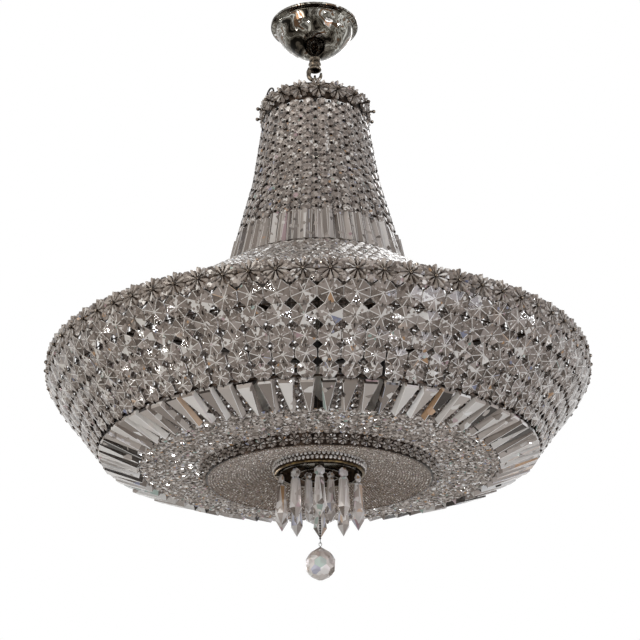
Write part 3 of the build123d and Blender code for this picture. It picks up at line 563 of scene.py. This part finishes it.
# ---- Rosettes ----------------------------------------------------------------------------
# Moulded glass flowers of ten petals are bolted on the rings, edge to edge, over washers whose near-black is
# painted shade, and which show between the petals as thin dark spokes. A polished ball nut holds each, on a
# short stud.
def rosette(width, depth, petals):
    """A flower of ridged petals in mm, lying in XY with its back on Z = 0."""
    bm = bmesh.new()
    bm.faces.layers.float.new("facet")
    reach = width / 2
    half = reach * 0.76 * sin(pi / petals)
    outline = [(0.12, 0.08), (0.28, 0.22), (0.5, 0.58), (0.76, 0.99), (0.94, 0.68)]
    side = [(half * across, reach * along) for along, across in outline]
    corners = side + [(0, reach)] + [(-x, y) for x, y in reversed(side)]
    petal = bm.faces.new([bm.verts.new((x * mm, y * mm, 0)) for x, y in corners])
    front = bmesh.ops.extrude_face_region(bm, geom=[petal], use_keep_orig=True)["geom"]
    for vert in [item for item in front if isinstance(item, bmesh.types.BMVert)]:
        along = vert.co.y / (reach * mm)
        vert.co = (vert.co.x * 0.45, vert.co.y * 0.97, depth * (0.55 + 0.35 * along) * mm)
    bmesh.ops.spin(bm, geom=bm.verts[:] + bm.edges[:] + bm.faces[:], cent=(0, 0, 0), axis=(0, 0, 1),
                   angle=tau * (petals - 1) / petals, steps=petals - 1, use_duplicate=True)
    mesh = bpy.data.meshes.new("rosette")
    bm.to_mesh(mesh)
    bm.free()
    return mesh


def washer(radius):
    """A thin dished washer in mm, with its back on Z = 0."""
    bm = bmesh.new()
    bmesh.ops.create_cone(bm, cap_ends=True, segments=16, radius1=radius * mm, radius2=radius * 0.55 * mm,
                          depth=0.7 * mm, matrix=Matrix.Translation((0, 0, 0.35 * mm)))
    mesh = bpy.data.meshes.new("washer")
    bm.to_mesh(mesh)
    bm.free()
    return mesh


def ball_nut(radius, lift):
    """A ball nut in mm on its threaded stud, standing that high."""
    bm = bmesh.new()
    bmesh.ops.create_uvsphere(bm, u_segments=12, v_segments=8, radius=radius * mm,
                              matrix=Matrix.Translation((0, 0, lift * mm)))
    bmesh.ops.create_cone(bm, cap_ends=True, segments=8, radius1=radius * 0.75 * mm,
                          radius2=radius * 0.6 * mm, depth=lift * mm,
                          matrix=Matrix.Translation((0, 0, lift / 2 * mm)))
    mesh = bpy.data.meshes.new("ball_nut")
    bm.to_mesh(mesh)
    bm.free()
    return mesh


# Painted refraction tones, darkest first, up to a painted white glint.
flower_tones = ["#5a4f47", "#8a7f76", "#a59a92", "#c0b8b1", "#f0edea"]
flower_glass = cut_glass("rosette_glass", flower_tones, 3.0, 0.2, 0.4, 0.99)
nut_nickel = plated("ball_nut_nickel", ["#2f2823", "#5a5149", "#8a8177"], 0.12, 3)
crown_z = level("crown_rosettes", 0.5) - 1.2
rim_z = level("rim_rosettes", 0.5) - 1.2
foot_z = level("bottom_ring", 0.5)
lean = radians(28)
crown_count = 18
rim_count = 72
rim_step = 360 / rim_count
foot_count = 64
crown_seats = [stand(78.7, crown_z, 0, 1, 3.8 - 90 + 360 / crown_count * k) for k in range(crown_count)]
rim_seats = [stand(372.6, rim_z, 0, 1, 2.5 + rim_step * k) for k in range(rim_count)]
foot_seats = [stand(158.2, foot_z, sin(lean), cos(lean), 360 / foot_count * k) for k in range(foot_count)]
flowers = {"crown_flowers": (30.0, 4.6, 10, crown_seats, "crown_rosettes"),
           "rim_flowers": (32.4, 4.4, 10, rim_seats, "rim_rosettes"),
           "foot_flowers": (14.8, 3.6, 8, foot_seats, "bottom_rosettes")}
for name, (width, depth, petals, seats, node) in flowers.items():
    cut(name, strung(rosette(width, depth, petals), seats), flower_glass, "chandelier", [node])
low_seat = Matrix.Translation((0, -4.5 * mm, 0))
washers = strung(washer(11.0), [seat @ low_seat for seat in crown_seats + rim_seats])
washers = strung(washer(6.5), foot_seats, washers)
put("rosette_washers", washers, dark_nickel_painted_shade, "chandelier")
nuts = strung(ball_nut(2.9, 9.0), crown_seats)
nuts = strung(ball_nut(2.8, 4.0), rim_seats, nuts)
nuts = strung(ball_nut(1.4, 4.0), foot_seats, nuts)
put("ball_nuts", nuts, nut_nickel, "chandelier", soft_edges=60)
fillers = [stand(373.4, rim_z - 10.5, 0.1, 0.995, rim_step * k, 0.4, 8) for k in range(rim_count)]
fillers += [stand(373.4, rim_z + 6.5, 0.1, 0.995, rim_step * k, 0.2, 8) for k in range(rim_count)]
filler_octagon = octagon(14.0, 13.0, 4.0, 0.42, False)
cut("rim_filler_octagons", strung(filler_octagon, fillers), small_cut, "chandelier")

# ---- Basket ------------------------------------------------------------------------------
# Five rows of large flat octagons hang from the rim and turn in under it. The two upper rows
# touch, and the lower ones shrink. Each is pinned to the next by a dark wire clip.
def large_octagon(width, length, depth):
    """A large octagon in mm, in eight wedges that meet in the middle, with thin polished edges between that
    are marked for a painted highlight.
    """
    bm = bmesh.new()
    facet = bm.faces.layers.float.new("facet")
    face = bmesh.ops.create_circle(bm, cap_ends=True, segments=8, radius=0.5 / cos(pi / 8),
                                   matrix=Matrix.Rotation(pi / 8, 4, "Z"))["verts"][0].link_faces[0]
    bmesh.ops.scale(bm, verts=bm.verts, vec=(width * mm, length * mm, 1))
    girdle = bmesh.ops.extrude_face_region(bm, geom=[face], use_keep_orig=True)["geom"]
    bmesh.ops.translate(bm, verts=[item for item in girdle if isinstance(item, bmesh.types.BMVert)],
                        vec=(0, 0, depth * 0.3 * mm))
    bmesh.ops.recalc_face_normals(bm, faces=bm.faces)
    back, front = sorted((f for f in bm.faces if len(f.verts) == 8), key=lambda f: f.normal.z)
    bmesh.ops.inset_individual(bm, faces=[back], thickness=width * 0.24 * mm, depth=depth * 0.35 * mm)
    rim = list(front.edges)
    wedges = bmesh.ops.poke(bm, faces=[front], offset=depth * 0.35 * mm)
    ridges = list(wedges["verts"][0].link_edges)
    polished = bmesh.ops.bevel(bm, geom=rim + ridges, offset=0.5 * mm, offset_type="OFFSET", segments=1,
                               profile=0.5, affect="EDGES", material=-1)
    for face in polished["faces"]:
        face[facet] = 1.0
    bmesh.ops.translate(bm, verts=bm.verts, vec=(0, 0, -depth * 0.15 * mm))
    mesh = bpy.data.meshes.new("large_octagon")
    bm.to_mesh(mesh)
    bm.free()
    return mesh


# Painted refraction tones, darkest first, up to a painted white glint.
big_tones = ["#5c5149", "#82776f", "#968b84", "#b0a6a0", "#f4f2ef"]
big_cut = cut_glass("large_cut_crystal", big_tones, 3.2, 0.3, 0.55)
rim_foot = level("rim_ring", 0)
basket_line = [(371.0, 0.0), (357.5, 23.0), (339.0, 44.6), (324.0, 64.0), (312.0, 79.8), (300.0, 96.0)]
basket_widths = [32.0, 31.0, 28.6, 26.0, 23.0]
row_clips = []
for row, width in enumerate(basket_widths):
    (high_r, high_down), (low_r, low_down) = basket_line[row:row + 2]
    high, low = (high_r, rim_foot - high_down), (low_r, rim_foot - low_down)
    length = hypot(high[0] - low[0], high[1] - low[1])
    depth = 6.0 - 0.25 * row
    (r, z, dr, dz), *_ = steps_along([low, high], length, length / 2)
    places = [stand(r, z, dr, dz, 2.5 + rim_step * k, depth * 0.35, 4.5) for k in range(rim_count)]
    row_octagon = large_octagon(width, max(length, width * 0.94), depth)
    cut(f"basket_octagons_{row + 1}", strung(row_octagon, places), big_cut, "chandelier",
        [f"basket_row_{row + 1}"])
    row_clips += [stand(*high, dr, dz, 2.5 + rim_step * k, depth * 0.6) for k in range(rim_count)]
prism_head = (basket_line[-1][0], rim_foot - basket_line[-1][1])
row_clips += [stand(*prism_head, 0.8, 0.6, 2.5 + rim_step * k, 3.0) for k in range(rim_count)]
put("basket_clips", strung(clip(1.2, 6.5, 2.4), row_clips), dark_nickel_painted_shade, "chandelier")
row_hoop = bmesh.new()
ring_wire(row_hoop, (0, 0, rim_foot - 23.0), (0, 0, 1), 356.8, 0.9, 6, 144)
put("basket_row_hoop", row_hoop, dark_nickel_painted_shade, "chandelier", soft_edges=60)

# ---- Long prisms -------------------------------------------------------------------------
# Under the last row hang long tapered prisms, with a front facet that narrows towards the foot.
# They are fairly clear and carry a little painted fire colour, and the dark frame shows between them.
prism_foot = (245.2, level("bottom_ring", 1) + 2.0)
prism_run = hypot(prism_head[0] - prism_foot[0], prism_head[1] - prism_foot[1])
prism_dir = ((prism_head[0] - prism_foot[0]) / prism_run, (prism_head[1] - prism_foot[1]) / prism_run)
# Painted refraction tones, darkest first, up to a painted white glint.
prism_tones = ["#2f2722", "#8f857e", "#c2bab4", "#e9e6e3", "#ffffff"]
prism_glass = cut_glass("long_prism_glass", prism_tones, 9.0, 0.12, 0.45, 0.95)
prism_places = [stand(*prism_foot, *prism_dir, 2.5 + rim_step * k, 0, 2.0) for k in range(rim_count)]
long_prism = bar(20.6, 9.6, prism_run - 0.8, 7.0, 0.86)
cut("long_prisms", strung(long_prism, prism_places), prism_glass, "chandelier", ["basket_prisms"])

# ---- Lower field -------------------------------------------------------------------------
# Small octagons in rings lie close together between the prisms and the bottom ring, as a nearly
# level field seen from below.
field_pitch = 10.4
field_z = level("bottom_ring", 1)
field_first = 166.0
field_rings = 8
field_rise = 0.023
field = []
for ring in range(field_rings):
    r = field_first + field_pitch * ring
    z = field_z + field_rise * (r - 160)
    count = int(tau * r / field_pitch)
    for k in range(count):
        field.append(stand(r, z, 1, 0.02, 360 * (k + ring % 2 / 2) / count, 0.5, 10))
# Painted refraction tones, darkest first, up to a painted white glint.
field_tones = ["#3f3630", "#796f67", "#a0968f", "#cac2bc", "#ffffff"]
field_cut = cut_glass("field_crystal", field_tones, 2.2, 0.3, 0.35, 0.96)
field_octagon = octagon(10.6, 11.0, 4.4, 0.45, False)
cut("lower_field_octagons", strung(field_octagon, field), field_cut, "chandelier", ["lower_strands"])

# ---- Dish --------------------------------------------------------------------------------
# The dish is a spun brass plate, browned, paved with small rose-cut stones in rings. At a distance the stones
# read as a grey-brown skin with tiny glints; their tones are painted refraction and painted glints.
dish_line = [(62.6, -706.3), (75.0, -710.6), (95.0, -716.6), (115.0, -721.6), (135.0, -725.6),
             (152.0, -728.9)]
plate_brown = plated("browned_brass", ["#40342c", "#57473c", "#6d5b4b"], 0.35, 5)
plate_gauge = 1.6
plate = turned(dish_line + [(r, z + plate_gauge) for r, z in reversed(dish_line)] + dish_line[:1])
put("dish_plate", plate, plate_brown, "chandelier", ["dish"], 40)
dish_edge = bmesh.new()
ring_wire(dish_edge, (0, 0, level("dish", 0) + 0.3), (0, 0, 1), 151.2, 1.0, 8, 144)
put("dish_edge_wire", dish_edge, plate_brown, "chandelier", soft_edges=60)
stone = bmesh.new()
bmesh.ops.create_cone(stone, cap_ends=True, segments=6, radius1=1.9 * mm, radius2=0.9 * mm, depth=1.0 * mm)
stone.faces.layers.float.new("facet")
stone_mesh = bpy.data.meshes.new("stone")
stone.to_mesh(stone_mesh)
stones = []
for r, z, dr, dz in steps_along(dish_line, 3.7, 2.6):
    count = int(tau * r / 3.9)
    for k in range(count):
        stones.append(stand(r, z, dr, dz, 360 * (k + random.random() * 0.2) / count, 0.2, 9))
# Painted refraction tones, darkest first, up to a painted white glint.
paving_tones = ["#463b34", "#74695f", "#948980", "#b6aca3", "#f6f2ec"]
paving = cut_glass("paving_stones", paving_tones, 1.8, 0.4, 0.15, 0.985)
cut("dish_stones", strung(stone_mesh, stones), paving, "chandelier")

# ---- Collar and brass band ---------------------------------------------------------------
# Under the dish a collar is set with two rows of upright cut stones. A plain brass band closes it,
# and the drops hang inside.
sleeve = turned([(60.4, -704.9), (62.0, -704.9), (62.0, -717.9), (60.4, -717.9), (60.4, -704.9)])
put("collar_sleeve", sleeve, plate_brown, "chandelier", ["finial_collar"], 40)
bead_count = 64
collar_stones = [stand(62.6, -708.2 - 6.0 * row, 0, 1, 360 * (k + row / 2) / bead_count, 0.4, 4)
                 for row in range(2) for k in range(bead_count)]
# Painted refraction tones, darkest first, up to a painted white glint.
bead_tones = ["#8d827a", "#c9c2bc", "#e9e5e1", "#f6f4f2", "#ffffff"]
collar_cut = cut_glass("collar_bead_glass", bead_tones, 2.0, 0.1, 0.3)
cut("collar_beads", strung(octagon(4.4, 5.2, 3.4, 0.4, False), collar_stones), collar_cut, "chandelier")
brass = plated("aged_brass", ["#4a3d2c", "#6b5a40", "#8d7852"], 0.30, 6)
band_line = [(58.5, -717.9), (61.4, -717.9), (62.1, -718.6), (62.1, -719.8), (61.4, -720.4), (58.5, -720.4)]
put("brass_band", turned(band_line + band_line[:1]), brass, "chandelier", ["finial_band"], 50)

# ---- Lamps -------------------------------------------------------------------------------
# Six moulded black sockets hang under the rim arms, each with a frosted candle bulb. They are off,
# and show only as dark and milky shapes through the crystal.
lamp_circle = 92 * mm
lamp_places = [Matrix.Rotation(radians(32.5 + 60 * k), 4, "Z") @ Matrix.Translation((lamp_circle, 0, 0))
               for k in range(6)]
sleeve_line = [(0.01, -564.0), (9.6, -564.0), (10.6, -566.0), (10.6, -596.0), (9.8, -599.0), (0.01, -599.0)]
bulb_line = [(6.4, -598.8), (6.6, -602.0), (11.0, -608.0), (14.0, -615.0), (14.6, -621.0), (13.0, -629.0),
             (9.0, -637.0), (4.5, -643.0), (1.5, -646.0), (0.01, -646.8)]
socket_plastic = bpy.data.materials.new("moulded_phenolic")
socket_plastic.use_nodes = True
tree = socket_plastic.node_tree
speck = add(tree, "TexNoise", {"Vector": add(tree, "TexCoord").outputs["Object"], "Scale": 1 / (2 * mm)})
tone = add(tree, "ValToRGB", {0: speck.outputs["Fac"]}, stops=[(0.3, "#1d1b1a"), (0.7, "#2b2826")])
tree.links.new(tone.outputs[0], tree.nodes["Principled BSDF"].inputs["Base Color"])
tree.nodes["Principled BSDF"].inputs["Roughness"].default_value = 0.42
frosted = bpy.data.materials.new("frosted_bulb_glass")
frosted.use_nodes = True
tree = frosted.node_tree
frost = add(tree, "TexNoise", {"Vector": add(tree, "TexCoord").outputs["Object"], "Scale": 1 / (1.5 * mm)})
tone = add(tree, "ValToRGB", {0: frost.outputs["Fac"]}, stops=[(0.3, "#e4e0d8"), (0.7, "#f2efe9")])
tree.links.new(tone.outputs[0], tree.nodes["Principled BSDF"].inputs["Base Color"])
tree.nodes["Principled BSDF"].inputs["Roughness"].default_value = 0.35
tree.nodes["Principled BSDF"].inputs["Transmission Weight"].default_value = 0.4
lamp_pieces = [("socket_sleeves", sleeve_line, socket_plastic, "socket_plastic", "lamp_sockets"),
               ("candle_bulbs", bulb_line, frosted, "bulb_glass", "lamp_bulbs")]
for name, line, material, slot, node in lamp_pieces:
    one = turned(line, 24)
    mesh = bpy.data.meshes.new(name)
    one.to_mesh(mesh)
    put(name, strung(mesh, lamp_places), material, "chandelier", [node], 40)


# ---- Drops -------------------------------------------------------------------------------
# Ten large and six small drops hang on wire loops from their rings: a cut octagon, a clip, and a
# long spear that swells downwards to a point. They are the clearest glass on the piece.
def spear(length, top_width, width, point):
    """A cut spear in mm, its top at the origin: five rings of points under one hull."""
    bm = bmesh.new()
    rings = [(0.0, top_width / 2, 6, 0), (-length * 0.06, top_width * 0.62, 6, pi / 6),
             (point * 1.5 - length, width * 0.45, 6, pi / 6), (point - length, width / 2, 6, 0),
             (-length, 0.3, 3, 0)]
    for z, radius, count, turn in rings:
        for k in range(count):
            angle = tau * k / count + turn
            across = radius * sin(angle + pi / 2)
            bm.verts.new((radius * 0.92 * cos(angle + pi / 2) * mm, across * mm, z * mm))
    bmesh.ops.convex_hull(bm, input=bm.verts[:])
    bmesh.ops.dissolve_limit(bm, angle_limit=radians(1), verts=bm.verts[:], edges=bm.edges[:])
    return bm


# Painted refraction tones, darkest first, up to a painted white glint.
clear_tones = ["#7f756e", "#c4bcb7", "#e4dfdc", "#f8f6f5", "#ffffff"]
clear_cut = cut_glass("clear_cut_crystal", clear_tones, 8.0, 0.1, 0.6, 0.9)
drop_level = frame["joints"][2]["pos_m"][2] / mm
upright = Matrix(((0, 0, 1, 0), (1, 0, 0, 0), (0, 1, 0, 0), (0, 0, 0, 1)))
reach = 2.71
# Each kind: how many, on what radius, from what azimuth, the octagon's size and depth, and the spear.
drop_kinds = [(10, 54.5, 90, "drop_{:02d}", 14.0, 7.0, (56.0, 10.5, 18.6, 14.0)),
              (6, 30.0, 0, "small_drop_{}", 10.0, 6.0, (45.0, 8.0, 14.0, 10.0))]
for count, radius, first, pattern, size, depth, spear_cut in drop_kinds:
    head = octagon(size, size - 0.6, depth, 0.45)
    for k in range(count):
        body = pattern.format(k + 1)
        seat = (Matrix.Rotation(radians(first + 360 * k / count), 4, "Z")
                @ Matrix.Translation((radius * mm, 0, 0)))
        foot = drop_level - reach - 1.5
        bm = spear(*spear_cut)
        bmesh.ops.translate(bm, verts=bm.verts, vec=(0, 0, (foot - size) * mm))
        bm = strung(head, [Matrix.Translation((0, 0, (foot - size / 2) * mm)) @ upright], bm)
        bmesh.ops.transform(bm, matrix=seat, verts=bm.verts)
        cut(body + "_crystals", bm, clear_cut, body, [body])
        bm = bmesh.new()
        ring_wire(bm, (0, 0, drop_level - 0.75), (0, 1, 0), reach - 0.4, 0.4, 6, 20, 0.75)
        clip_places = [Matrix.Translation((0, 0, z * mm)) @ upright for z in (foot + 0.2, foot - size + 0.2)]
        bm = strung(clip(1.4, 3.4, depth * 0.8), clip_places, bm)
        bmesh.ops.transform(bm, matrix=seat, verts=bm.verts)
        put(body + "_wire", bm, dark_nickel_painted_shade, body)

# ---- Chain -------------------------------------------------------------------------------
# A fine chain of dark metal beads hangs from the bail in the middle, with a small loop at each end.
chain = bmesh.new()
ring_wire(chain, (0, 0, drop_level), (1, 0, 0), 2.2, 0.45, 6, 20)
ring_wire(chain, (0, 0, -814.2), (1, 0, 0), 2.5, 0.45, 6, 20)
for k in range(25):
    bmesh.ops.create_uvsphere(chain, u_segments=8, v_segments=6, radius=1.45 * mm,
                              matrix=Matrix.Translation((0, 0, (drop_level - 4.2 - 3.55 * k) * mm)))
wire(chain, (0, 0, drop_level - 2.2), (0, 0, -1), 0.4, [(0, 0, -89.8)], 6)
put("bead_chain", chain, dark_nickel_painted_shade, "pendant_chain", ["pendant_chain"], 60)

# ---- Ball --------------------------------------------------------------------------------
# The ball is ground flat on large facets in rings, with a small one below, and is drawn up to a
# point at its top, where a pin and a wire loop hold it.
ball_centre = -845.57
ball_radius = 20.35
ball_laps = [(55, 8, 0.5, 20.4), (28, 8, 0, 19.4), (-4, 8, 0.5, 19.2), (-34, 8, 0, 19.2), (-62, 8, 0.5, 19.6)]
ball = bmesh.new()
bmesh.ops.create_cube(ball, size=60 * mm, matrix=Matrix.Translation((0, 0, ball_centre * mm)))
laps = [(Vector((0, 0, -1)), ball_radius), (Vector((0, 0, 1)), 24.6)]
for latitude, count, shift, reach in ball_laps:
    for k in range(count):
        angle = tau * (k + shift) / count + pi / 8
        flat = Vector((cos(angle), sin(angle), 0)) * cos(radians(latitude))
        laps.append((flat + Vector((0, 0, sin(radians(latitude)))), reach))
for normal, reach in laps:
    everything = ball.verts[:] + ball.edges[:] + ball.faces[:]
    bmesh.ops.bisect_plane(ball, geom=everything, clear_outer=True, plane_no=normal,
                           plane_co=Vector((0, 0, ball_centre * mm)) + normal * reach * mm)
    bmesh.ops.holes_fill(ball, edges=[edge for edge in ball.edges if edge.is_boundary], sides=0)
cut("cut_ball", ball, clear_cut, "crystal_ball", ["crystal_ball"])
ball_pin = bmesh.new()
ring_wire(ball_pin, (0, 0, -817.6), (0, 1, 0), 1.9, 0.4, 6, 20, 0.6)
wire(ball_pin, (0, 0, -820.0), (0, 0, -1), 0.5, [(0, 0, -3.0)], 6)
put("ball_pin", ball_pin, aged_nickel, "crystal_ball", soft_edges=60)
